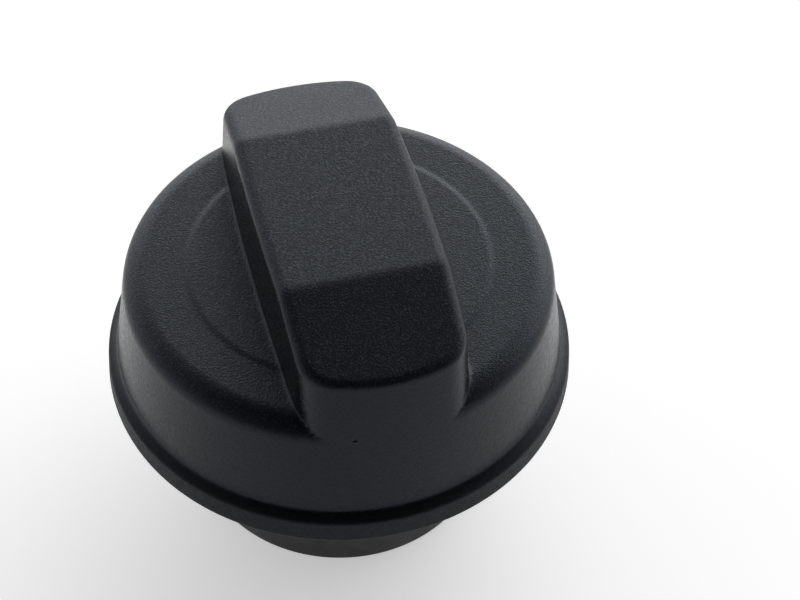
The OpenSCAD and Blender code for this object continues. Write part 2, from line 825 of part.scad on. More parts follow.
cover();
drive_ring();
retaining_ring();
thrust_washer();
plug();
neck_seal();
slip_ring();
ratchet_ring();
wave_washer();
splash_guard();
valve_housing();
housing_o_ring();
spring_cap();
pressure_spring();
pressure_plate();
pressure_seal();
vacuum_spring();
vacuum_stem();
vacuum_seal();
vacuum_collar();
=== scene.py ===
import math

import bmesh
import bpy
import numpy as np
from mathutils import Matrix, Vector


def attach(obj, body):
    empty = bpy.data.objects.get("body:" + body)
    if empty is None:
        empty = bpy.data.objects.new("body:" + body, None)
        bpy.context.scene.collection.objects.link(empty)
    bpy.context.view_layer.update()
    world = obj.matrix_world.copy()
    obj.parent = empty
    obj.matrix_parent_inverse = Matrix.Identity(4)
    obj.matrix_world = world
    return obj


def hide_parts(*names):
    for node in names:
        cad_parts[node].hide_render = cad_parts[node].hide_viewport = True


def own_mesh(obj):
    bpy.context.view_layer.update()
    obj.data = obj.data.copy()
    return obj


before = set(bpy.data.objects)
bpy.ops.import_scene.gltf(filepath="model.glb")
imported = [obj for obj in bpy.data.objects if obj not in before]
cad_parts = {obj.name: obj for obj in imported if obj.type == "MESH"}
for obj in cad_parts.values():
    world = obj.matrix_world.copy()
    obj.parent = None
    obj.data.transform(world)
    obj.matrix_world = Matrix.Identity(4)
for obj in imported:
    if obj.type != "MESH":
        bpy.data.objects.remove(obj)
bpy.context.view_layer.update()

MM = 0.001

# Cover
WALL = 2.3
RIM_Z = 24.9
RIM_TOP_Z = RIM_Z + 4.1
SKIRT_Z = RIM_TOP_Z + 1.35
SKIRT_TOP_Z = SKIRT_Z + 13.05
SKIRT_DRAFT = math.radians(8.2)
DISC_EDGE_R = 4.0
FLAT_R = 34.25 - DISC_EDGE_R
DISC_Z = SKIRT_TOP_Z + DISC_EDGE_R
UNDER_Z = DISC_Z - WALL
STEP_R, STEP_W, STEP_H = 24.05, 1.2, 0.2
RIM_EDGE_R, RIM_SHOULDER_R, RIM_FOOT_R = 0.55, 0.8, 0.35
POCKET_TAPER = 0.12

# Handle
HANDLE_Z = DISC_Z + 13.58
HALF_W = 13.3
SIDE_DRAFT = math.radians(3)
SIDE_BOW = 1.2 / 34.25 ** 2
HALF_FLAT = 16.1
END_DROP = 5.2
HANDLE_EDGE_R, HANDLE_CORNER_R, HANDLE_CREASE_R = 1.9, 6.0, 5.0
FOOT_R, FOOT_FADE, FOOT_END_R = 0.6, 4.0, 34.0
BAR_GAP = 8.05
GATE_MARK = (-5.73, -33.53, 45.27)


def skirt_at(z):
    """Radius of the skirt's cone, which the handle's end faces carry on upwards."""
    return FLAT_R + DISC_EDGE_R / math.cos(SKIRT_DRAFT) + (SKIRT_TOP_Z - z) * math.tan(SKIRT_DRAFT)


def skirt_in(z):
    return skirt_at(z) - WALL / math.cos(SKIRT_DRAFT)


def handle_side_at(z):
    """Half the width of the handle's middle."""
    return HALF_W + (HANDLE_Z - z) * math.tan(SIDE_DRAFT)


RIM_TOP_R = skirt_at(SKIRT_Z) + 1.58
RIM_R = RIM_TOP_R + 0.3
CAV_R = skirt_in(SKIRT_Z)
POCKET_R = RIM_R - WALL

# The stack over the filler neck, and the retaining ring's groove
SEAL_Z = RIM_Z + 3
SLIP_Z = SEAL_Z + 2.4
FLANGE_Z = SLIP_Z + 0.6
FLANGE_TOP_Z = FLANGE_Z + 2.5
FLANGE_R = skirt_in(FLANGE_TOP_Z) - 0.35
RING_R = FLANGE_R - 1.4
RING_Z = FLANGE_Z - 1.25
GROOVE_R = CAV_R + 1
LEAD_Z = RING_Z - 0.6

# Ratchet and the cover's ribs
RATCHET_TOP_Z = FLANGE_TOP_Z + 3
THRUST_Z = RATCHET_TOP_Z + 1.6
RIB_Z = THRUST_Z + 0.6
HUB_Z = THRUST_Z - 0.8
DRIVE_Z = FLANGE_TOP_Z + 0.3
RIBS, RIB_T = 8, 1.6
RIB_SUNK = 0.8
DRIVE_R = skirt_in(RIB_Z) - 0.3
KEY_R = DRIVE_R - 1.3
ROOT_R = KEY_R - 1.4
CREST_R = ROOT_R - 2
ARM_OUT_R = CREST_R - 1.4
ARM_IN_R = ARM_OUT_R - 1.8
BASE_R = ARM_IN_R - 1.6
DOG_OUT_R = BASE_R - 2.3
DOG_IN_R = DOG_OUT_R - 3
DOGS, DOG_HALF_A, DOG_TURN, DOG_H = 4, 11, 45, 2.4
TEETH, TOOTH_LEAN_A = 24, 0.6
KEY_HALF, KEY_PLAY = 0.9, 0.1

# Plug
NOSE_R = 24.6
CORE_R = NOSE_R - 0.3
PLUG_IN_R = NOSE_R - 2.2
THREAD_Z, THREAD_PITCH, THREAD_TURNS, THREAD_H = 9.0, 6.5, 1.6, 1.5
THREAD_ROOT_W, THREAD_CREST_W = 0.62 * THREAD_PITCH, 0.24 * THREAD_PITCH
TOWER_R, TOWER_WALL = 12.9, 1.7
TOWER_TOP_Z = UNDER_Z - 2.4
HUB_R = TOWER_R + 0.06
HUB_WALL = 1.8
HUB_OUT_R = HUB_R + HUB_WALL
WASHER_IN_R = HUB_OUT_R + 0.3

# Vent valve
BORE_R = 12.2
HOUSING_R = BORE_R + 2.7
TUBE_R = HOUSING_R + 0.1
TUBE_OUT_R = TUBE_R + 1.6
HOUSING_Z = 5.2
TUBE_Z = HOUSING_Z + 1.4
SEAT_R = 9.1
INLET_R = SEAT_R - 1.6
SEAT_Z = HOUSING_Z + 3.2
HOUSING_TOP_Z = FLANGE_Z - 2.3
O_RING_Z = HOUSING_TOP_Z - 5
O_RING_IN_R = HOUSING_R - 1.6
CAP_Z = HOUSING_TOP_Z - 1.8
CAP_T = 1.6
SNAP_Z = CAP_Z + CAP_T / 2
PLATE_Z = SEAT_Z + 1.2
PLATE_TOP_Z = PLATE_Z + 1.4
PLATE_R = BORE_R - 1.2
COIL_R = SEAT_R - 0.5
CUP_R = COIL_R - 0.8
CUP_H = 2.4
STOP_IN_R = CUP_R - 1.4
PRESSURE_LIFT = 2.5
STOP_Z = PLATE_TOP_Z + CUP_H + PRESSURE_LIFT + 0.05
VAC_R = 5.6
STEM_R = 1.2
VAC_SEAL_Z = PLATE_Z - 1.6
GUIDE_Z = PLATE_TOP_Z + 2
GUIDE_R = STEM_R + 1.2
VACUUM_SPRING_H = 5.4
COLLAR_Z = GUIDE_Z + VACUUM_SPRING_H
HOLDER_R = VAC_R + 1
HOLDER_OUT_R = HOLDER_R + 1.1

# Splash guard
LEDGE_Z = HOUSING_Z - 1.2
LEDGE_W = 0.6
GUARD_Z = LEDGE_Z - 1.8


def add_camera():
    """Camera at the photograph's angle: 48.7 degrees up and 16 degrees left of the handle's line."""
    up, turn, roll = math.radians(48.66), math.radians(-16.05), math.radians(1.68)
    distance, focal = 300.0, 1907.0
    width, height, sensor = 800, 600, 36
    aim_x, aim_y = 339.2, 259.4
    forward = Vector((0, math.cos(up), -math.sin(up)))
    level = Vector((1, 0, 0))
    lift = Vector((0, math.sin(up), math.cos(up)))
    right = math.cos(roll) * level + math.sin(roll) * lift
    above = math.cos(roll) * lift - math.sin(roll) * level
    to_side, to_top = (aim_x - width / 2) / focal, (height / 2 - aim_y) / focal
    place = -(forward + to_side * right + to_top * above) * distance
    pose = Matrix((right, above, -forward)).transposed().to_4x4()
    pose.translation = place
    pose = Matrix.Translation((0, 0, DISC_Z)) @ Matrix.Rotation(turn, 4, "Z") @ pose
    pose.translation *= MM
    data = bpy.data.cameras.new("photo_camera")
    data.sensor_width = sensor
    data.lens = focal * sensor / width
    data.clip_start, data.clip_end = 0.02, 20
    camera = add_object("photo_camera", data)
    camera.matrix_world = pose
    bpy.context.scene.camera = camera


def fresh_tree(owner):
    """The emptied node tree of a material or a world."""
    owner.use_nodes = True
    owner.node_tree.nodes.clear()
    return owner.node_tree


def put(tree, kind, inputs=None, **settings):
    """Adds a node. An input is a value or another node's output."""
    node = tree.nodes.new(kind)
    for name, value in settings.items():
        setattr(node, name, value)
    for key, value in (inputs or {}).items():
        if isinstance(value, bpy.types.NodeSocket):
            tree.links.new(value, node.inputs[key])
        else:
            node.inputs[key].default_value = value
    return node


def calc(tree, operation, a, b=0.0):
    return put(tree, "ShaderNodeMath", {0: a, 1: b}, operation=operation).outputs[0]


def plus(tree, a, b):
    return calc(tree, "ADD", a, b)


def times(tree, a, b):
    return calc(tree, "MULTIPLY", a, b)


def remap(tree, value, low, high, to_low, to_high):
    """Straight-line change of range, held at both ends."""
    span = {"Value": value, "From Min": low, "From Max": high, "To Min": to_low, "To Max": to_high}
    return put(tree, "ShaderNodeMapRange", span).outputs[0]


def noise(tree, where, scale, detail, roughness=0.5):
    settings = {"Vector": where, "Scale": scale, "Detail": detail, "Roughness": roughness}
    return put(tree, "ShaderNodeTexNoise", settings).outputs[0]


def number_between(tree, share, first, second):
    return put(tree, "ShaderNodeMix", {0: share, 2: first, 3: second}).outputs[0]


def shade_between(tree, share, dark, light):
    return put(tree, "ShaderNodeMix", {0: share, 6: dark, 7: light}, data_type="RGBA").outputs[2]


def relief(tree, height, depth, strength=1.0, over=None):
    """Normals of a relief that is depth metres high, laid over the normals of another one."""
    given = {"Height": height, "Distance": depth, "Strength": strength}
    if over is not None:
        given["Normal"] = over
    return put(tree, "ShaderNodeBump", given).outputs[0]


def new_material(name, **on_shader):
    """A material with a shader and object coordinates. What is the same all over goes on the shader."""
    material = bpy.data.materials.new(name)
    tree = fresh_tree(material)
    on_shader = {socket.replace("_", " "): value for socket, value in on_shader.items()}
    shader = put(tree, "ShaderNodeBsdfPrincipled", on_shader)
    put(tree, "ShaderNodeOutputMaterial", {"Surface": shader.outputs[0]})
    where = put(tree, "ShaderNodeTexCoord").outputs["Object"]
    return material, tree, shader, where


def dress(tree, shader, colour, gloss, normals):
    """Links what varies over the surface to the shader."""
    for socket, value in (("Base Color", colour), ("Roughness", gloss), ("Normal", normals)):
        tree.links.new(value, shader.inputs[socket])


def moulded_plastic(name, dark, light, rough=(0.42, 0.56), specular=0.5):
    """Moulded plastic: cloudy colour, uneven gloss and the fine grain of the mould's face."""
    material, tree, shader, where = new_material(name, Specular_IOR_Level=specular)
    cloud = remap(tree, noise(tree, where, 90, 4), 0.35, 0.65, 0, 1)
    gloss = remap(tree, noise(tree, where, 260, 3), 0.3, 0.7, *rough)
    grain = noise(tree, where, 1700, 3, 0.6)
    dress(tree, shader, shade_between(tree, cloud, dark, light), gloss, relief(tree, grain, 0.00004))
    return material


def black_rubber(name):
    """Rubber: matt, with a faint bloom and pressed-in mottling."""
    material, tree, shader, where = new_material(name, Specular_IOR_Level=0.35)
    bloom = remap(tree, noise(tree, where, 420, 5), 0.4, 0.7, 0, 1)
    colour = shade_between(tree, bloom, (0.011, 0.011, 0.011, 1), (0.019, 0.019, 0.020, 1))
    gloss = remap(tree, bloom, 0, 1, 0.62, 0.8)
    dress(tree, shader, colour, gloss, relief(tree, noise(tree, where, 1200, 3), 0.00005))
    return material


def bright_steel(name, tint, rough=(0.24, 0.4), streak=(1, 1, 1)):
    """Bright drawn or stamped steel with fine streaks."""
    material, tree, shader, where = new_material(name, Metallic=1.0)
    along = put(tree, "ShaderNodeMapping", {"Vector": where, "Scale": streak}).outputs[0]
    lines = noise(tree, along, 900, 4)
    cloud = remap(tree, noise(tree, where, 160, 3), 0.35, 0.7, 0, 1)
    darker = tuple(0.72 * c for c in tint[:3]) + (1,)
    gloss = remap(tree, lines, 0.3, 0.7, *rough)
    dress(tree, shader, shade_between(tree, cloud, darker, tint), gloss, relief(tree, lines, 0.00001, 0.6))
    return material


def cover_plastic():
    """Black plastic of the cover. Its upper faces have the coarse grain of an eroded mould, with the
    grain's sparkle painted into their colour as light specks: painted glints.

    The handle and the rim are duller than the disc and the skirt. The gate mark is a small pit."""
    material, tree, shader, where = new_material(
        "cover_plastic", Specular_IOR_Level=0.24, Specular_Tint=(0.70, 0.84, 1.0, 1))
    height = put(tree, "ShaderNodeSeparateXYZ", {0: where}).outputs[2]
    grain_and_painted_glints = put(tree, "ShaderNodeAttribute", attribute_name="grain_and_painted_glints").outputs["Fac"]
    coarse = noise(tree, where, 3600, 2, 0.55)
    fine = noise(tree, where, 7000, 2, 0.6)
    mottle = noise(tree, where, 1500, 3, 0.6)
    cloud = remap(tree, noise(tree, where, 70, 4), 0.3, 0.7, 0, 1)
    speck = remap(tree, coarse, 0.50, 0.72, 0, 1)
    dots = times(tree, plus(tree, cloud, 1), speck)
    smooth_face = shade_between(tree, dots, (0.0020, 0.0022, 0.0030, 1), (0.0085, 0.0088, 0.0105, 1))
    # Painted glints: the light specks on the upper faces stand in for the grain sparkling in the light
    grain_face_with_painted_glints = shade_between(tree, speck, (0.0012, 0.0019, 0.0036, 1), (0.0320, 0.0380, 0.0500, 1))
    colour = shade_between(tree, grain_and_painted_glints, smooth_face, grain_face_with_painted_glints)

    handle_foot, handle_top = (DISC_Z + 3) * MM, (HANDLE_Z - 3) * MM
    dull_handle = remap(tree, height, handle_foot, handle_top, 0, 0.12)
    grained_gloss = plus(tree, remap(tree, coarse, 0.3, 0.7, 0.5, 0.36), dull_handle)
    dull_rim = remap(tree, height, (RIM_TOP_Z + 0.4) * MM, SKIRT_Z * MM, 0.56, 0.29)
    smooth_gloss = plus(tree, dull_rim, remap(tree, mottle, 0.35, 0.65, -0.06, 0.06))
    gloss = number_between(tree, grain_and_painted_glints, smooth_gloss, grained_gloss)

    strength = remap(tree, grain_and_painted_glints, 0, 1, 0.5, 1.0)
    normals = relief(tree, number_between(tree, grain_and_painted_glints, mottle, coarse), 0.0001, strength)
    normals = relief(tree, fine, 0.00001, 0.6, normals)
    between = {0: where, 1: Vector(GATE_MARK) * MM}
    from_gate = put(tree, "ShaderNodeVectorMath", between, operation="DISTANCE").outputs["Value"]
    pit = remap(tree, from_gate, 0.00015, 0.0005, 0, 1)
    dress(tree, shader, colour, gloss, relief(tree, pit, 0.0004, 1.0, normals))
    return material


def new_mesh(name, points, faces):
    points = [tuple(p) for p in np.asarray(points, float)]
    faces = [tuple(map(int, f)) for f in faces]
    mesh = bpy.data.meshes.new(name)
    mesh.from_pydata(points, [], faces)
    return mesh


def add_object(name, data):
    thing = bpy.data.objects.new(name, data)
    bpy.context.collection.objects.link(thing)
    return thing


def hand_over(piece, body, node):
    """The piece rides on a body, in place of the construction's node."""
    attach(piece, body)
    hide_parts(node)


def spaced(start, *runs):
    """Levels from start on, in runs of (end, widest step)."""
    levels = [np.array([start])]
    for end, step in runs:
        count = math.ceil((end - start) / step - 1e-6)
        levels.append(np.linspace(start, end, count + 1)[1:])
        start = end
    return np.concatenate(levels).astype(float)


# Distance fields: below 0 is inside. Rounded joins take the distances to both faces.

def tilted(a, b, angle):
    """Distance to a face turned by angle from the face at distance a towards the one at distance b."""
    return a * math.cos(angle) + b * math.sin(angle)


def rounded_corner(a, b, radius, lean=0.0):
    """Where both a and b hold, with the edge rounded. lean is the cosine of the normals' angle."""
    sine = np.sqrt(1 - lean * lean)
    u, v = a + radius, b + radius
    on_edge = (v - lean * u > 0) & (u - lean * v > 0)
    return np.where(on_edge, np.hypot(u, (v - lean * u) / sine) - radius, np.maximum(a, b))


def filleted_union(a, b, radius):
    """Where a or b holds, with the inner corner filled by a radius."""
    filled = np.hypot(np.maximum(radius - a, 0), np.maximum(radius - b, 0))
    return np.maximum(np.minimum(a, b), radius) - filled


def all_of(first, *others):
    for other in others:
        first = np.maximum(first, other)
    return first


def any_of(first, *others):
    for other in others:
        first = np.minimum(first, other)
    return first


def skirt_face(r, z):
    return (r - skirt_at(z)) * math.cos(SKIRT_DRAFT)


def handle_field(x, y, z, inset, edge_r, corner_r, crease_r):
    """The bar handle, or the hollow one wall inside it. Its sides are slightly bowed in plan."""
    slope = math.atan(END_DROP / (skirt_at(HANDLE_Z - END_DROP) - HALF_FLAT))
    half_flat = HALF_FLAT - inset * math.tan(slope / 2)
    over_top = z - HANDLE_Z + inset
    ax, ay, r = np.abs(x), np.abs(y), np.hypot(x, y)
    side, end = handle_side_at(z) - inset, skirt_at(z) - inset

    # Centre of the corner's circle, which touches the bowed side at bow_a from square. Two rounds
    # from a near value settle it
    cy = 26.8
    for _ in range(2):
        bow_a = np.arctan(2 * SIDE_BOW * cy)
        cx = side - SIDE_BOW * cy ** 2 - corner_r / np.cos(bow_a)
        cy = np.sqrt((end - corner_r) ** 2 - cx ** 2)
    dx, dy = ax - cx, ay - cy
    from_centre = np.hypot(dx, dy)
    past_side = dy * np.cos(bow_a) > dx * np.sin(bow_a)
    in_corner = past_side & (cx * dy < cy * dx)
    bow = 2 * SIDE_BOW * ay
    to_side = (ax - side + SIDE_BOW * ay ** 2) / np.sqrt(1 + bow ** 2)
    plan = np.where(in_corner, from_centre - corner_r, np.maximum(to_side, r - end))
    at_end = past_side & ~in_corner & (r - end > to_side)
    facing_end = np.where(at_end, ay / np.maximum(r, 1e-6), bow)
    facing_end = np.where(in_corner, dy / np.maximum(from_centre, 1e-6), facing_end)
    draft = SIDE_DRAFT + (SKIRT_DRAFT - SIDE_DRAFT) * facing_end
    plan = plan * np.cos(draft)

    # The flat top, its two slopes and the rounded edge to the sides
    top = rounded_corner(over_top, tilted(over_top, ay - half_flat, slope), crease_r, math.cos(slope))
    on_slope = np.clip(ay - half_flat + 0.5, 0, 1) * slope
    lean = facing_end * np.sin(on_slope) * np.cos(draft) + np.sin(draft) * np.cos(on_slope)
    return rounded_corner(top, plan, edge_r, lean)


def cover_outside(x, y, z):
    """The rim, the skirt with the disc, and the handle with the fillet at its foot."""
    r = np.hypot(x, y)
    rim_end_z, body_start_z = SKIRT_Z + 5, RIM_Z + 1.5
    flare = math.atan2(RIM_R - RIM_TOP_R, RIM_TOP_Z - RIM_Z)
    chamfer = math.atan2(RIM_TOP_R - skirt_at(SKIRT_Z), SKIRT_Z - RIM_TOP_Z)
    rim = rounded_corner(RIM_Z - z, tilted(r - RIM_R, z - RIM_Z, flare), RIM_EDGE_R, -math.sin(flare))
    rim = rounded_corner(rim, tilted(r - RIM_TOP_R, z - RIM_TOP_Z, chamfer), RIM_SHOULDER_R,
                         math.cos(chamfer - flare))
    rim = np.maximum(rim, z - rim_end_z)
    on_step = np.clip((STEP_R + STEP_W / 2 - r) / STEP_W, 0, 1)
    top = z - DISC_Z - STEP_H * on_step * on_step * (3 - 2 * on_step)
    body = rounded_corner(top, skirt_face(r, z), DISC_EDGE_R, math.sin(SKIRT_DRAFT))
    body = np.maximum(body, body_start_z - z)
    handle = handle_field(x, y, z, inset=0, edge_r=HANDLE_EDGE_R, corner_r=HANDLE_CORNER_R,
                          crease_r=HANDLE_CREASE_R)
    handle = np.maximum(handle, SKIRT_TOP_Z - z)
    foot = FOOT_R * np.clip((FOOT_END_R - r) / FOOT_FADE, 0, 1)
    return np.minimum(filleted_union(rim, body, RIM_FOOT_R), filleted_union(body, handle, foot))


def cover_hollow(x, y, z):
    """The cavity, the rim's pocket with its lead-in, the retaining groove and the handle's hollow."""
    r = np.hypot(x, y)
    cavity = rounded_corner(z - UNDER_Z, skirt_face(r, z) + WALL, DISC_EDGE_R - WALL, math.sin(SKIRT_DRAFT))
    cavity = np.maximum(cavity, r - CAV_R)
    lead_in = tilted(r - CAV_R, z - LEAD_Z, math.radians(45))
    pocket = all_of(r - POCKET_R + POCKET_TAPER * (z - RIM_Z), lead_in, RIM_Z - 1 - z, z - LEAD_Z)
    groove = all_of(r - GROOVE_R, RING_Z - 0.1 - z, z - FLANGE_Z)
    hollow = handle_field(x, y, z, inset=WALL, edge_r=0.6, corner_r=HANDLE_CORNER_R - WALL, crease_r=2.0)
    hollow = np.maximum(hollow, UNDER_Z - 0.4 - z)
    return any_of(cavity, pocket, groove, hollow)


def cover_ribs(x, y, z):
    """Hub ring, eight radial ribs with keys, and three bars across the handle's hollow."""
    r = np.hypot(x, y)
    above_under = z - UNDER_Z - RIB_SUNK
    hub = all_of(HUB_R - r, r - HUB_OUT_R, HUB_Z - z, above_under)
    step = 2 * math.pi / RIBS
    turn = np.mod(np.arctan2(y, x), step) - step / 2
    out, across = r * np.cos(turn), r * np.sin(turn)
    rib_foot = np.minimum(RIB_Z - z, np.maximum(DRIVE_Z - z, KEY_R + KEY_PLAY - out))
    rib = all_of(np.abs(across) - RIB_T / 2, HUB_R + HUB_WALL / 2 - out, rib_foot, above_under,
                 out - skirt_at(z) + WALL / 2)
    bars = any_of(*[np.abs(y - at) for at in (-BAR_GAP, 0, BAR_GAP)]) - RIB_T / 2
    bars = all_of(bars, np.abs(x) - handle_side_at(z) + WALL / 2, UNDER_Z - z, z - HANDLE_Z + WALL / 2)
    return any_of(hub, rib, bars)


def cover_field(p):
    x, y, z = p[..., 0], p[..., 1], p[..., 2]
    shell = np.maximum(cover_outside(x, y, z), -cover_hollow(x, y, z))
    return np.minimum(shell, cover_ribs(x, y, z))


def slope_of(field, p):
    """The field's gradient at points p."""
    reach = 0.01
    parts = []
    for axis in range(3):
        step = np.zeros(3)
        step[axis] = reach
        parts.append((field(p + step) - field(p - step)) / (2 * reach))
    return np.stack(parts, -1)


def onward(a):
    """Each value's neighbour one step further round the axis."""
    return np.roll(a, -1, axis=1)


def round_skin(field, radii, count, heights):
    """Skin of a field, from cells on a round grid: one point to a cell, one face to each grid line it cuts.

    radii starts at 0 on the axis. Returns points, faces and outward directions."""
    turn = np.arange(count) * 2 * math.pi / count
    grid = np.stack(np.broadcast_arrays(
        radii[:, None, None] * np.cos(turn)[None, :, None],
        radii[:, None, None] * np.sin(turn)[None, :, None],
        heights[None, None, :]), -1)
    value = field(grid)
    inside = value < 0
    last_i, last_k = len(radii) - 1, len(heights) - 1
    corners = [inside[i:last_i + i, :, k:last_k + k] for i in (0, 1) for k in (0, 1)]
    corners += [onward(c) for c in corners]
    total = sum(c.astype(np.int8) for c in corners)
    ci, cj, ck = np.nonzero((total > 0) & (total < len(corners)))
    number = -np.ones(total.shape, dtype=np.int64)
    number[ci, cj, ck] = np.arange(len(ci))
    points = np.zeros((len(ci), 3))
    hits = np.zeros(len(ci))

    def corner(di, dj, dk):
        at = (ci + di, (cj + dj) % count, ck + dk)
        return grid[at], value[at]

    # A cell's point starts in the middle of the cuts on its edges, then moves onto the skin
    ends = [(i, j, k) for k in (0, 1) for j in (0, 1) for i in (0, 1)]
    edges = [(a, b) for a in ends for b in ends if a < b and sum(abs(i - j) for i, j in zip(a, b)) == 1]
    for a, b in edges:
        (pa, va), (pb, vb) = corner(*a), corner(*b)
        crossed = (va < 0) != (vb < 0)
        share = np.where(crossed, va / np.where(crossed, va - vb, 1), 0)
        points += np.where(crossed[:, None], pa + share[:, None] * (pb - pa), 0)
        hits += crossed
    points /= hits[:, None]
    longest_step, least_size = 0.25, 0.25
    for _ in range(3):
        slope = slope_of(field, points)
        size = np.maximum((slope ** 2).sum(-1), least_size)
        step = -(field(points) / size)[:, None] * slope
        reach = np.linalg.norm(step, axis=1, keepdims=True)
        points += step * np.minimum(1, longest_step / np.maximum(reach, 1e-9))

    faces = []

    def cuts(crossed, off_axis, off_ends):
        """Grid lines that the skin cuts, without those on the grid's own border."""
        i, j, k = np.nonzero(crossed)
        keep = np.ones(len(i), dtype=bool)
        if off_axis:
            keep &= (i > 0) & (i < last_i)
        if off_ends:
            keep &= (k > 0) & (k < last_k)
        return i[keep], j[keep], k[keep]

    def span(i, j, k, *cells):
        """A quad between the four cells round each cut line, with its front away from the inside."""
        quads = np.stack([number[cell] for cell in cells], -1)
        turned = value[i, j, k] > 0
        faces.extend(np.where(turned[:, None], quads[:, ::-1], quads).tolist())

    i, j, k = cuts(inside[:-1] != inside[1:], False, True)
    span(i, j, k, (i, j - 1, k - 1), (i, j, k - 1), (i, j, k), (i, j - 1, k))
    i, j, k = cuts(inside != onward(inside), True, True)
    span(i, j, k, (i - 1, j, k - 1), (i - 1, j, k), (i, j, k), (i, j, k - 1))
    i, j, k = cuts(inside[:, :, :-1] != inside[:, :, 1:], True, False)
    span(i, j, k, (i - 1, j - 1, k), (i, j - 1, k), (i, j, k), (i - 1, j, k))

    # Where the skin cuts the axis, a fan of triangles closes it
    poles = []
    for k in np.nonzero(inside[0, 0, :-1] != inside[0, 0, 1:])[0]:
        below, above = value[0, 0, k:k + 2]
        poles.append((0, 0, heights[k] + below / (below - above) * (heights[k + 1] - heights[k])))
        pole = len(points) + len(poles) - 1
        ring = number[0, :, k]
        fan = np.stack([ring, np.roll(ring, -1), np.full(count, pole)], -1)
        faces.extend((fan[:, ::-1] if below > 0 else fan).tolist())
    points = np.concatenate([points, np.array(poles).reshape(-1, 3)])
    directions = slope_of(field, points)
    directions /= np.maximum(np.linalg.norm(directions, axis=1, keepdims=True), 1e-9)
    return points, faces, directions


def make_cover(material):
    """The cover, meshed finer where it has edges. An attribute marks its upper faces, which take the
    mould's grain and the painted glints of its sparkle.
    """
    radii = spaced(0, (12.2, 1.0), (16.2, 0.5), (23.6, 0.75), (24.6, 0.16), (33.6, 0.6), (38.6, 0.45))
    heights = spaced(24.4, (30.8, 0.32), (38.1, 1.5), (39.2, 0.28), (43.4, 1.4), (48.8, 0.38), (54.4, 1.2),
                     (61.4, 0.45))
    steps_round = 240
    points, faces, directions = round_skin(cover_field, radii, steps_round, heights)
    mesh = new_mesh("cover_moulding", points * MM, faces)
    mesh.materials.append(material)
    mesh.shade_smooth()
    mesh.update()
    mesh.normals_split_custom_set_from_vertices(directions.tolist())
    x, y, z = points.T
    grain_starts, grain_full = 0.35, 0.7
    upward = np.clip((directions[:, 2] - grain_starts) / (grain_full - grain_starts), 0, 1)
    outer = cover_outside(x, y, z) > -WALL / 4
    # Mask of the upper faces, for the mould's grain and for its painted glints
    grain_and_painted_glints = mesh.attributes.new("grain_and_painted_glints", "FLOAT", "POINT")
    grain_and_painted_glints.data.foreach_set("value", (upward * outer * (z > SKIRT_TOP_Z)).astype(np.float32))
    hand_over(add_object("cover_moulding", mesh), "cover_body", "cover")


# Parts of the inner pieces, as plain objects in millimetres that are joined into one piece at the end

def soften(outline, radius=0.12):
    """Closed outline with rounded corners. A third number at a point is that corner's own radius."""
    nearly_straight = 1.55
    points = []
    for i, corner in enumerate(outline):
        here = np.array(corner[:2], float)
        back = np.array(outline[i - 1][:2], float) - here
        on = np.array(outline[(i + 1) % len(outline)][:2], float) - here
        back_l, on_l = np.linalg.norm(back), np.linalg.norm(on)
        half = math.acos(np.clip(back @ on / back_l / on_l, -1, 1)) / 2
        own = corner[2] if len(corner) > 2 else radius
        reach = min(own / math.tan(half), 0.45 * back_l, 0.45 * on_l)
        if own == 0 or half > nearly_straight:
            points.append(here)
            continue
        for t in np.linspace(0, 1, 4):
            points.append(here + back / back_l * reach * (1 - t) ** 2 + on / on_l * reach * t ** 2)
    return np.array(points)


def counterclockwise(outline):
    x, y = np.asarray(outline, float).T
    area = (x * np.roll(y, -1) - np.roll(x, -1) * y).sum()
    return np.asarray(outline, float)[:: 1 if area > 0 else -1]


def solid(points, faces):
    return add_object("part", new_mesh("part", points, faces))


def lathe(outline, steps=144):
    """Solid of revolution from a closed half section. Points on the axis become poles."""
    outline = counterclockwise(outline)
    turn = np.arange(steps) * 2 * math.pi / steps
    points, number = [], []
    for r, z in outline:
        if r < 1e-6:
            number.append([len(points)] * steps)
            points.append((0, 0, z))
        else:
            number.append(list(range(len(points), len(points) + steps)))
            points.extend((r * math.cos(t), r * math.sin(t), z) for t in turn)
    faces = []
    for i in range(len(outline)):
        low, high = number[i], number[(i + 1) % len(outline)]
        for j in range(steps):
            k = (j + 1) % steps
            face = list(dict.fromkeys((low[j], low[k], high[k], high[j])))
            if len(face) > 2:
                faces.append(face)
    return solid(points, faces)


def washer(r0, r1, z0, z1, radius=0.12):
    return lathe(soften([(r0, z0), (r1, z0), (r1, z1), (r0, z1)], radius))


def prism(outline, z0, z1):
    """Upright solid on a closed outline."""
    outline = counterclockwise(outline)
    n = len(outline)
    points = [(x, y, z) for z in (z0, z1) for x, y in outline]
    faces = [list(range(n))[::-1], list(range(n, 2 * n))]
    faces += [(i, (i + 1) % n, n + (i + 1) % n, n + i) for i in range(n)]
    return solid(points, faces)


def box(x0, x1, half, z0, z1):
    return prism([(x0, -half), (x1, -half), (x1, half), (x0, half)], z0, z1)


def drill(hole_r, at_r, z0, z1):
    """Round tool for a hole that stands off the axis."""
    tool = lathe([(0, z0), (hole_r, z0), (hole_r, z1), (0, z1)], 32)
    tool.data.transform(Matrix.Translation((at_r, 0, 0)))
    return tool


def polar(r, degrees):
    return (r * math.cos(math.radians(degrees)), r * math.sin(math.radians(degrees)))


def arc(r, from_a, to_a, count):
    return [polar(r, a) for a in np.linspace(from_a, to_a, count)]


def sector(r0, r1, half_a):
    return arc(r0, -half_a, half_a, 17) + arc(r1, half_a, -half_a, 17)


def section_at(section, degrees, lift=0.0):
    """A half section, turned round the axis and lifted."""
    return [(*polar(r, degrees), z + lift) for r, z in section]


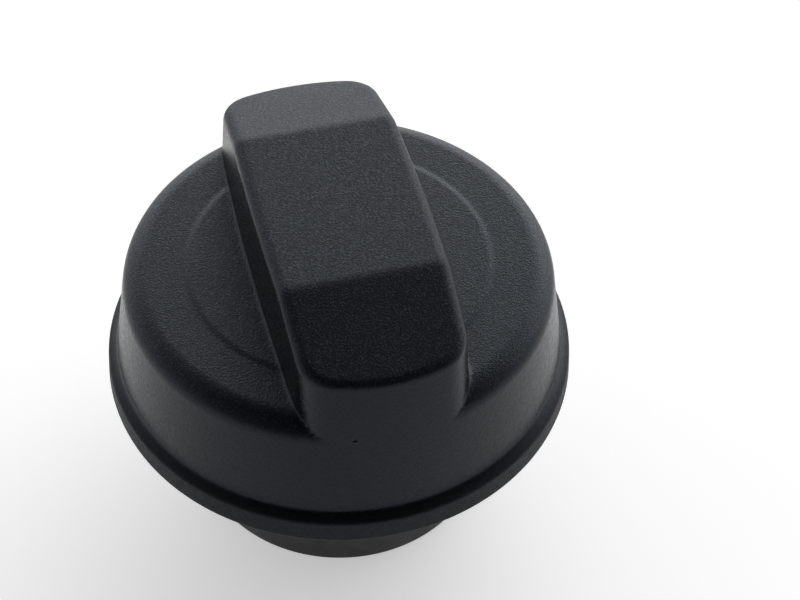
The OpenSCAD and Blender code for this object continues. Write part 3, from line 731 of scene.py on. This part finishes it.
def sweep(rings, closed=False):
    """Skin over rings of points, capped at both ends unless it closes on itself."""
    rings = np.asarray(rings, float)
    n, m = rings.shape[:2]
    faces = []
    for i in range(n if closed else n - 1):
        a, b = i * m, (i + 1) % n * m
        faces += [(a + j, a + (j + 1) % m, b + (j + 1) % m, b + j) for j in range(m)]
    if not closed:
        faces += [list(range(m))[::-1], list(range((n - 1) * m, n * m))]
    return outward(solid(rings.reshape(-1, 3), faces))


def outward(part):
    """Turns a part's faces outwards and joins doubled points."""
    bm = bmesh.new()
    bm.from_mesh(part.data)
    bmesh.ops.remove_doubles(bm, verts=bm.verts, dist=0.002)
    bmesh.ops.recalc_face_normals(bm, faces=bm.faces)
    bm.to_mesh(part.data)
    bm.free()
    return part


def settle(part):
    """Makes what the modifiers show the part's own plain mesh."""
    graph = bpy.context.evaluated_depsgraph_get()
    mesh = bpy.data.meshes.new_from_object(part.evaluated_get(graph))
    part.modifiers.clear()
    part.data = mesh
    return part


def grow(part, tree, **inputs):
    """Runs a node tree on a part. Inputs are given by name and set by their identifiers."""
    modifier = part.modifiers.new("grow", "NODES")
    modifier.node_group = tree
    for item in tree.interface.items_tree:
        if item.item_type == "SOCKET" and item.in_out == "INPUT" and item.name in inputs:
            modifier[item.identifier] = inputs[item.name]
    return settle(part)


def cut(part, tool, operation="DIFFERENCE"):
    modifier = part.modifiers.new("cut", "BOOLEAN")
    modifier.operation, modifier.solver, modifier.object = operation, "EXACT", tool
    settle(part)
    bpy.data.objects.remove(tool)
    return part


def merge(part, *others):
    for other in others:
        cut(part, other, "UNION")
    return part


def bevelled(part, width=0.15):
    modifier = part.modifiers.new("edges", "BEVEL")
    modifier.width, modifier.segments, modifier.limit_method = width, 2, "ANGLE"
    modifier.angle_limit = math.radians(40)
    return settle(part)


def new_tree(name, *inputs):
    """Node tree for parts, with named inputs and one geometry output."""
    tree = bpy.data.node_groups.new(name, "GeometryNodeTree")
    for title, kind in (("Part", "Geometry"), *inputs, ("Finish", "Material")):
        tree.interface.new_socket(title, in_out="INPUT", socket_type="NodeSocket" + kind)
    tree.interface.new_socket("Part", in_out="OUTPUT", socket_type="NodeSocketGeometry")
    return tree, put(tree, "NodeGroupInput").outputs


def end_tree(tree, shape, finish):
    real = put(tree, "GeometryNodeRealizeInstances", {"Geometry": shape}).outputs[0]
    coated = put(tree, "GeometryNodeSetMaterial", {"Geometry": real, "Material": finish}).outputs[0]
    put(tree, "NodeGroupOutput", {"Part": coated})
    return tree


def copies_tree():
    """Count copies of the part round the axis, the first turned by Turn."""
    tree, given = new_tree("copies_round_axis", ("Count", "Int"), ("Turn", "Float"))
    spots = put(tree, "GeometryNodePoints", {"Count": given["Count"]}).outputs[0]
    step = calc(tree, "DIVIDE", 2 * math.pi, given["Count"])
    index = put(tree, "GeometryNodeInputIndex").outputs[0]
    angle = plus(tree, times(tree, index, step), given["Turn"])
    spin = put(tree, "ShaderNodeCombineXYZ", {"Z": angle}).outputs[0]
    on_spots = {"Points": spots, "Instance": given["Part"], "Rotation": spin}
    copies = put(tree, "GeometryNodeInstanceOnPoints", on_spots).outputs[0]
    return end_tree(tree, copies, given["Finish"])


def coil_tree():
    """Coil spring on the axis from Foot upwards: a closed turn at each end, an even rise between them."""
    sizes = [(title, "Float") for title in ("Radius", "Wire", "Height", "Turns", "Foot")]
    tree, given = new_tree("coil_spring", *sizes)
    turns, wire, radius = given["Turns"], given["Wire"], given["Radius"]
    points_a_turn, points_round_wire = 36, 14
    line = put(tree, "GeometryNodeCurvePrimitiveLine").outputs[0]
    resampled = {"Curve": line, "Count": times(tree, turns, points_a_turn)}
    path = put(tree, "GeometryNodeResampleCurve", resampled).outputs[0]
    turn = times(tree, put(tree, "GeometryNodeSplineParameter").outputs["Factor"], turns)
    angle = times(tree, turn, 2 * math.pi)
    wire_r = calc(tree, "DIVIDE", wire, 2)
    last = calc(tree, "SUBTRACT", turns, 1)
    rise = calc(tree, "SUBTRACT", given["Height"], times(tree, wire, 3))
    height = plus(tree, given["Foot"], wire_r)
    for start, end, gain in ((0, 1, wire), (1, last, rise), (last, turns, wire)):
        height = plus(tree, height, remap(tree, turn, start, end, 0, gain))
    x = times(tree, calc(tree, "COSINE", angle), radius)
    y = times(tree, calc(tree, "SINE", angle), radius)
    place = put(tree, "ShaderNodeCombineXYZ", {"X": x, "Y": y, "Z": height}).outputs[0]
    coil = put(tree, "GeometryNodeSetPosition", {"Geometry": path, "Position": place}).outputs[0]
    circle = {"Resolution": points_round_wire, "Radius": wire_r}
    section = put(tree, "GeometryNodeCurvePrimitiveCircle", circle).outputs[0]
    tube = {"Curve": coil, "Profile Curve": section, "Fill Caps": True}
    return end_tree(tree, put(tree, "GeometryNodeCurveToMesh", tube).outputs[0], given["Finish"])


COPIES = copies_tree()
COIL = coil_tree()


def copied(part, count, material, turn=0.0):
    """Copies of a part round the axis, the first turned by turn degrees."""
    return grow(part, COPIES, Count=count, Turn=math.radians(turn), Finish=material)


def assemble(name, material, body, node, part):
    """A finished piece from a part: in metres, and smooth but for its sharp edges."""
    bm = bmesh.new()
    bm.from_mesh(part.data)
    bpy.data.objects.remove(part)
    bm.transform(Matrix.Scale(MM, 4))
    mesh = bpy.data.meshes.new(name)
    bm.to_mesh(mesh)
    bm.free()
    mesh.materials.clear()
    mesh.materials.append(material)
    mesh.shade_smooth()
    mesh.set_sharp_from_angle(angle=math.radians(38))
    piece = add_object(name, mesh)
    piece.modifiers.new("even_shading", "WEIGHTED_NORMAL").keep_sharp = True
    settle(piece)
    hand_over(piece, body, node)
    return piece


def thread_rings():
    """Rings of a coarse thread that runs out to nothing at both ends."""
    steps_a_turn, start_a, run_out = 96, 92, 0.12
    foot_r, sunk_r, crest_r = CORE_R - 0.5, CORE_R - 0.25, NOSE_R + THREAD_H
    rings = []
    for u in np.linspace(0, 1, round(THREAD_TURNS * steps_a_turn) + 1):
        fade = min(1, min(u, 1 - u) * THREAD_TURNS / run_out)
        r = sunk_r + (crest_r - sunk_r) * fade
        section = soften([
            (foot_r, -THREAD_ROOT_W / 2, 0), (r, -THREAD_CREST_W / 2, 0.35), (r, THREAD_CREST_W / 2, 0.35),
            (foot_r, THREAD_ROOT_W / 2, 0)])
        turns = u * THREAD_TURNS
        rings.append(section_at(section, start_a + 360 * turns, THREAD_Z + turns * THREAD_PITCH))
    return rings


def make_plug(material):
    """The plug with its thread, the tube for the valve, the webs between and the dogs for the ratchet."""
    thread_foot_z = THREAD_Z - THREAD_ROOT_W / 2 - 0.5
    lid_z, tower_in_r = TOWER_TOP_Z - TOWER_WALL, TOWER_R - TOWER_WALL
    vent_r, web_half = 1.4, 0.7
    wall = lathe(soften([
        (PLUG_IN_R + LEDGE_W, 0), (NOSE_R, 0, 0.6), (NOSE_R, thread_foot_z), (CORE_R, thread_foot_z + 0.3),
        (CORE_R, FLANGE_Z), (FLANGE_R, FLANGE_Z, 0.3), (FLANGE_R, FLANGE_TOP_Z, 0.3),
        (TOWER_R, FLANGE_TOP_Z, 0.2), (TOWER_R, TOWER_TOP_Z, 0.6), (0, TOWER_TOP_Z, 0), (0, lid_z, 0),
        (tower_in_r, lid_z, 0.5), (tower_in_r, FLANGE_Z, 0.3), (TUBE_R, FLANGE_Z), (TUBE_R, TUBE_Z),
        (TUBE_OUT_R, TUBE_Z, 0.2), (TUBE_OUT_R, FLANGE_Z, 0.4), (PLUG_IN_R, FLANGE_Z, 0.4),
        (PLUG_IN_R, LEDGE_Z), (PLUG_IN_R + LEDGE_W, LEDGE_Z)]))
    vent = drill(vent_r, TOWER_R / 2, TOWER_TOP_Z - 3, TOWER_TOP_Z + 1)
    cut(wall, copied(vent, 6, material))
    web = bevelled(box(TUBE_OUT_R - 0.8, PLUG_IN_R + 1, web_half, TUBE_Z + 0.05, FLANGE_Z + 0.4))
    dog = bevelled(prism(sector(DOG_IN_R, DOG_OUT_R, DOG_HALF_A), FLANGE_TOP_Z - 0.4, FLANGE_TOP_Z + DOG_H))
    webs = copied(web, 8, material)
    dogs = copied(dog, DOGS, material, DOG_TURN)
    plug = merge(wall, webs, dogs, sweep(thread_rings()))
    assemble("plug_moulding", material, "plug_body", "plug", plug)


def make_splash_guard(material):
    """Slotted disc in the nose, with a low boss in its middle and a spigot that fits the plug."""
    boss_r, boss_z, edge_r = 3, GUARD_Z - 0.6, PLUG_IN_R + 0.5
    spigot_r, spigot_in_r, spigot_z = PLUG_IN_R - 0.1, PLUG_IN_R - 1.2, LEDGE_Z + 1.6
    plate = lathe(soften([
        (0, boss_z, 0), (boss_r, boss_z, 0.25), (boss_r, GUARD_Z, 0.1), (edge_r, GUARD_Z, 0.3),
        (edge_r, LEDGE_Z), (spigot_r, LEDGE_Z), (spigot_r, spigot_z), (spigot_in_r, spigot_z),
        (spigot_in_r, LEDGE_Z), (0, LEDGE_Z, 0)]))
    slot_half, slot_from, slot_to = 1.1, INLET_R, PLUG_IN_R - 4
    slot_end = arc(slot_half, -90, 90, 13)
    slot = [(slot_to + x, y) for x, y in slot_end] + [(slot_from - x, -y) for x, y in slot_end]
    slots = copied(prism(slot, GUARD_Z - 1, LEDGE_Z + 1), 12, material)
    assemble("splash_guard_disc", material, "plug_body", "splash_guard", cut(plate, slots))


def make_seal_stack(rubber, slip, ring):
    """The waisted neck seal, the slip ring over it and the split retaining ring."""
    inner, outer = CORE_R + 0.1, RING_R - 0.35
    waist_z, waist_half, waist_depth = SEAL_Z + 1.2, 0.55, 0.5
    seal = lathe(soften([
        (inner, SEAL_Z, 0.3), (outer, SEAL_Z, 0.35), (outer, waist_z - waist_half, 0.2),
        (outer - waist_depth, waist_z, 0.5), (outer, waist_z + waist_half, 0.2), (outer, SLIP_Z, 0.3),
        (inner, SLIP_Z, 0.3)]))
    assemble("neck_seal_ring", rubber, "plug_body", "neck_seal", seal)
    slip_ring = washer(inner, outer, SLIP_Z, FLANGE_Z)
    assemble("slip_ring_flat", slip, "plug_body", "slip_ring", slip_ring)
    ring_out_r, ring_top_z = GROOVE_R - 0.1, FLANGE_Z - 0.05
    section = soften([
        (RING_R, RING_Z), (ring_out_r, RING_Z), (ring_out_r, ring_top_z), (RING_R, ring_top_z)], 0.2)
    split_ring = sweep([section_at(section, a) for a in np.linspace(-87.5, 267.5, 145)])
    assemble("retaining_ring_split", ring, "cover_body", "retaining_ring", split_ring)


def eighth_of_drive_ring():
    """An eighth of the drive ring, open at its ends, with saw teeth inside and a key slot outside."""
    span, tooth = 45, 360 / TEETH
    key_turn = math.radians(span / 2)
    # How far the slot's mouth turns from the slot's middle, in radians
    mouth_turn = 0.0279
    mouth_r = DRIVE_R * math.cos(mouth_turn)
    outline = arc(DRIVE_R, span, span / 2 + 2, 8)
    for r, off in ((mouth_r, KEY_HALF), (KEY_R, KEY_HALF), (KEY_R, -KEY_HALF), (mouth_r, -KEY_HALF)):
        outline.append((r * math.cos(key_turn) - off * math.sin(key_turn),
                        r * math.sin(key_turn) + off * math.cos(key_turn)))
    outline += arc(DRIVE_R, span / 2 - 2, 0, 8)
    for start in np.arange(0, span, tooth):
        outline += [polar(CREST_R, start), polar(ROOT_R, start + TOOTH_LEAN_A)]
    outline.append(polar(CREST_R, span))
    part = prism(outline, DRIVE_Z, RIB_Z)
    bm = bmesh.new()
    bm.from_mesh(part.data)
    ends = []
    for face in bm.faces:
        turns = {round(math.degrees(math.atan2(v.co.y, v.co.x)), 1) for v in face.verts}
        if turns in ({0}, {span}):
            ends.append(face)
    bmesh.ops.delete(bm, geom=ends, context="FACES")
    bm.to_mesh(part.data)
    bm.free()
    return part


def make_ratchet(material):
    """The drive ring's saw teeth and the ring of four sprung pawls that click past them."""
    teeth = outward(copied(eighth_of_drive_ring(), 8, material))
    assemble("drive_ring_teeth", material, "cover_body", "drive_ring", bevelled(teeth, 0.1))

    base = washer(TOWER_R + 0.3, BASE_R, FLANGE_TOP_Z, RATCHET_TOP_Z)
    pocket = sector(DOG_IN_R - KEY_PLAY, DOG_OUT_R + KEY_PLAY, DOG_HALF_A + 0.5)
    pocket = prism(pocket, FLANGE_TOP_Z - 1, FLANGE_TOP_Z + DOG_H + KEY_PLAY)
    cut(base, copied(pocket, DOGS, material, DOG_TURN))
    tip_a, heel_a, root_a, end_a = 1.6, 15.6, 55.6, 63.6
    outline = [polar(ARM_IN_R, tip_a), polar(ROOT_R - 0.5, tip_a)]
    outline += arc(ARM_OUT_R, heel_a, end_a, 28)
    outline += arc(BASE_R - 1.15, end_a, root_a, 5)
    outline += arc(ARM_IN_R, root_a, tip_a, 32)[:-1]
    pawl = bevelled(prism(outline, DRIVE_Z, RATCHET_TOP_Z - 0.02))
    ring = merge(base, copied(pawl, 4, material))
    assemble("ratchet_ring_pawls", material, "plug_body", "ratchet_ring", ring)


def make_washers(steel):
    """The flat thrust washer, and the wave washer of three waves that pushes on it."""
    flat = washer(WASHER_IN_R, DOG_OUT_R, THRUST_Z, RIB_Z, 0.08)
    assemble("thrust_washer_flat", steel, "cover_body", "thrust_washer", flat)
    sheet, waves = 0.35, 3
    rise = THRUST_Z - RATCHET_TOP_Z - sheet - 0.05
    section = soften([(WASHER_IN_R, 0), (DOG_OUT_R, 0), (DOG_OUT_R, sheet), (WASHER_IN_R, sheet)], 0.06)
    rings = []
    for a in np.arange(0, 360, 2.5):
        wave = (1 - math.cos(math.radians(waves * a))) / 2
        rings.append(section_at(section, a, RATCHET_TOP_Z + rise * wave))
    assemble("wave_washer_sprung", steel, "plug_body", "wave_washer", sweep(rings, closed=True))


def make_housing(natural, rubber):
    """The valve's cup with its seat and the catch for the spring cap, and the O-ring in its groove."""
    floor_z = HOUSING_Z + 2
    seat_in_r, seat_out_r = SEAT_R - 0.4, SEAT_R + 0.4
    groove_z, groove_top_z = O_RING_Z - 1.1, O_RING_Z + 1.1
    catch_r, catch_z, catch_top_z = BORE_R + 0.5, SNAP_Z - 0.5, SNAP_Z + 0.5
    housing = lathe(soften([
        (INLET_R, HOUSING_Z, 0.3), (TUBE_OUT_R, HOUSING_Z, 0.3), (TUBE_OUT_R, TUBE_Z), (HOUSING_R, TUBE_Z),
        (HOUSING_R, groove_z), (O_RING_IN_R, groove_z), (O_RING_IN_R, groove_top_z),
        (HOUSING_R, groove_top_z), (HOUSING_R, HOUSING_TOP_Z, 0.3), (BORE_R, HOUSING_TOP_Z, 0.3),
        (BORE_R, catch_top_z), (catch_r, catch_top_z), (catch_r, catch_z), (BORE_R, catch_z),
        (BORE_R, floor_z, 0.3), (seat_out_r, floor_z), (seat_out_r, SEAT_Z, 0.2), (seat_in_r, SEAT_Z, 0.2),
        (seat_in_r, floor_z), (INLET_R, floor_z)], 0.1))
    assemble("valve_housing_cup", natural, "plug_body", "valve_housing", housing)
    room = TUBE_R - O_RING_IN_R
    cord_r = room / 2 - 0.03
    section = [(O_RING_IN_R + room / 2 + x, O_RING_Z + y) for x, y in arc(cord_r, 0, 342, 20)]
    assemble("housing_o_ring_round", rubber, "plug_body", "housing_o_ring", lathe(section))


def make_spring_cap(natural):
    """The cap that snaps into the cup, with the tube that stops the pressure plate."""
    hole_r, middle_r, bore_r, snap_r = 1.3, 1.8, BORE_R - 0.03, BORE_R + 0.4
    snap_foot_z, snap_top_z, cap_top_z = SNAP_Z - 0.4, SNAP_Z + 0.4, CAP_Z + CAP_T
    cap = lathe(soften([
        (middle_r, CAP_Z), (STOP_IN_R, CAP_Z), (STOP_IN_R, STOP_Z), (CUP_R, STOP_Z), (CUP_R, CAP_Z),
        (bore_r, CAP_Z), (bore_r, snap_foot_z), (snap_r, snap_foot_z, 0.2), (snap_r, snap_top_z, 0.2),
        (bore_r, snap_top_z), (bore_r, cap_top_z), (middle_r, cap_top_z)], 0.1))
    hole = drill(hole_r, STOP_IN_R - 1.6, CAP_Z - 1, cap_top_z + 1)
    assemble("spring_cap_snap", natural, "plug_body", "spring_cap", cut(cap, copied(hole, 6, natural)))


def make_pressure_plate(natural, rubber):
    """The plate with its fins, and the guide for the stem on three spokes in its middle."""
    port_r, step_r = VAC_R - 0.8, VAC_R - 0.2
    under_z, holder_z, cup_z = PLATE_Z - 0.6, PLATE_Z - 0.84, PLATE_TOP_Z + CUP_H
    spoke_half, fin_half = 0.9, 1.3
    plate = lathe(soften([
        (port_r, under_z), (step_r, under_z), (step_r, PLATE_Z), (HOLDER_R, PLATE_Z), (HOLDER_R, holder_z),
        (HOLDER_OUT_R, holder_z), (HOLDER_OUT_R, PLATE_Z), (PLATE_R, PLATE_Z), (PLATE_R, PLATE_TOP_Z, 0.25),
        (CUP_R, PLATE_TOP_Z), (CUP_R, cup_z, 0.25), (STOP_IN_R, cup_z, 0.25), (STOP_IN_R, PLATE_TOP_Z),
        (port_r, PLATE_TOP_Z)], 0.1))
    guide = washer(STEM_R + 0.06, GUIDE_R, PLATE_Z, GUIDE_Z, 0.1)
    spoke = bevelled(box(GUIDE_R - 0.4, port_r + 0.6, spoke_half, PLATE_Z, PLATE_TOP_Z), 0.1)
    fin = bevelled(box(BORE_R - 2.2, BORE_R - 0.14, fin_half, PLATE_Z, PLATE_TOP_Z + 2), 0.2)
    plate = merge(plate, guide, copied(spoke, 3, natural), copied(fin, 6, natural))
    assemble("pressure_plate_disc", natural, "pressure_valve", "pressure_plate", plate)
    seal = washer(HOLDER_OUT_R + 0.1, PLATE_R - 0.3, SEAT_Z, PLATE_Z, 0.2)
    assemble("pressure_seal_ring", rubber, "pressure_valve", "pressure_seal", seal)


def make_vacuum_valve(natural, rubber, steel):
    """The disc on its stem, its seal and the collar that the small spring pushes on."""
    tip_z, fit_r = COLLAR_Z + 1.2, STEM_R + 0.03
    foot_z = VAC_SEAL_Z - 1.2
    stem = lathe(soften([
        (0, foot_z, 0), (VAC_R, foot_z, 0.3), (VAC_R, VAC_SEAL_Z), (STEM_R, VAC_SEAL_Z),
        (STEM_R, tip_z), (STEM_R - 0.4, tip_z + 0.4), (0, tip_z + 0.4, 0)]), 96)
    assemble("vacuum_stem_disc", natural, "vacuum_valve", "vacuum_stem", stem)
    seal = washer(fit_r, VAC_R - 0.1, VAC_SEAL_Z, PLATE_Z - 0.6, 0.15)
    assemble("vacuum_seal_ring", rubber, "vacuum_valve", "vacuum_seal", seal)
    collar = washer(fit_r, STEM_R + 1.6, COLLAR_Z, tip_z, 0.15)
    assemble("vacuum_collar_ring", steel, "vacuum_valve", "vacuum_collar", collar)


def make_spring(name, steel, body, node, radius, wire, foot_z, height):
    """A coil spring of six turns."""
    coil = grow(solid([], []), COIL, Radius=radius, Wire=wire, Height=height, Turns=6.0, Foot=foot_z,
                Finish=steel)
    spring = assemble(name, steel, body, node, outward(coil))
    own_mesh(spring)


def make_springs(steel):
    make_spring("pressure_spring_coil", steel, "plug_body", "pressure_spring", radius=COIL_R,
                wire=1.0, foot_z=PLATE_TOP_Z, height=CAP_Z - PLATE_TOP_Z)
    make_spring("vacuum_spring_coil", steel, "pressure_valve", "vacuum_spring", radius=STEM_R + 0.5,
                wire=0.4, foot_z=GUIDE_Z, height=VACUUM_SPRING_H)


def add_floor():
    """Pale floor. It adds some light of its own to what the camera, gloss and glass show of it."""
    reach, own_light = 3.0, 0.47
    corners = [(-reach, -reach, 0), (reach, -reach, 0), (reach, reach, 0), (-reach, reach, 0)]
    mesh = new_mesh("floor", corners, [(0, 1, 2, 3)])
    material = bpy.data.materials.new("pale_floor")
    tree = fresh_tree(material)
    matt = put(tree, "ShaderNodeBsdfDiffuse", {"Color": (0.86, 0.86, 0.86, 1)}).outputs[0]
    ray = put(tree, "ShaderNodeLightPath").outputs
    shown = plus(tree, plus(tree, ray["Is Camera Ray"], ray["Is Glossy Ray"]), ray["Is Transmission Ray"])
    glow = {"Color": (1, 1, 1, 1), "Strength": times(tree, shown, own_light)}
    white = put(tree, "ShaderNodeEmission", glow).outputs[0]
    both = put(tree, "ShaderNodeAddShader", {0: matt, 1: white}).outputs[0]
    put(tree, "ShaderNodeOutputMaterial", {"Surface": both})
    mesh.materials.append(material)
    add_object("floor", mesh)


def add_world():
    """Soft studio light: bright low down behind and at the sides, dim overhead and in front."""
    world = bpy.data.worlds.new("studio")
    bpy.context.scene.world = world
    tree = fresh_tree(world)
    where = put(tree, "ShaderNodeTexCoord").outputs["Generated"]
    height = put(tree, "ShaderNodeSeparateXYZ", {0: where}).outputs[2]
    everywhere = 0.04

    def towards(azimuth, *span):
        """Level by how far a direction points to an azimuth, in degrees from the front to the right."""
        a = math.radians(azimuth)
        share = put(tree, "ShaderNodeVectorMath", {0: where, 1: (math.sin(a), -math.cos(a), 0)},
                    operation="DOT_PRODUCT")
        return remap(tree, share.outputs["Value"], *span)

    def upwards(*span):
        return remap(tree, height, *span)

    low = times(tree, upwards(0.2, 0.65, 1.0, 0.0), towards(164, 0.5, 0.95, 0.1, 1.15))
    middle = times(tree, upwards(0.62, 0.86, 2.3, 0.0), towards(135, 0.3, 0.8, 0.5, 1.4))
    behind = times(tree, towards(164, -0.1, 0.5, 0, 1), plus(tree, low, middle))
    left = times(tree, towards(-105, 0.5, 0.9, 0, 1), upwards(0.2, 0.6, 0.5, 0.0))
    right = times(tree, towards(75, 0.5, 0.9, 0, 1), upwards(0.2, 0.6, 0.1, 0.0))
    level = plus(tree, plus(tree, behind, everywhere), plus(tree, left, right))
    sky = put(tree, "ShaderNodeBackground", {"Color": (1, 1, 1, 1), "Strength": level}).outputs[0]
    put(tree, "ShaderNodeOutputWorld", {"Surface": sky})


add_camera()
add_floor()
add_world()

black = cover_plastic()
plug_black = moulded_plastic(
    "plug_plastic", (0.010, 0.011, 0.012, 1), (0.017, 0.018, 0.020, 1), specular=0.4)
natural = moulded_plastic("natural_plastic", (0.58, 0.55, 0.46, 1), (0.70, 0.67, 0.58, 1))
grey = moulded_plastic("ring_plastic", (0.050, 0.051, 0.056, 1), (0.075, 0.077, 0.084, 1))
milky = moulded_plastic("slip_plastic", (0.66, 0.64, 0.58, 1), (0.76, 0.75, 0.70, 1), rough=(0.3, 0.42))
rubber = black_rubber("seal_rubber")
spring_steel = bright_steel("spring_steel", (0.56, 0.57, 0.60, 1))
washer_steel = bright_steel("washer_steel", (0.62, 0.62, 0.63, 1), rough=(0.3, 0.48), streak=(1, 6, 1))

make_cover(black)
make_plug(plug_black)
make_splash_guard(plug_black)
make_seal_stack(rubber, milky, grey)
make_ratchet(natural)
make_washers(washer_steel)
make_housing(natural, rubber)
make_spring_cap(natural)
make_pressure_plate(natural, rubber)
make_vacuum_valve(natural, rubber, washer_steel)
make_springs(spring_steel)

bpy.context.scene.view_settings.view_transform = "Standard"
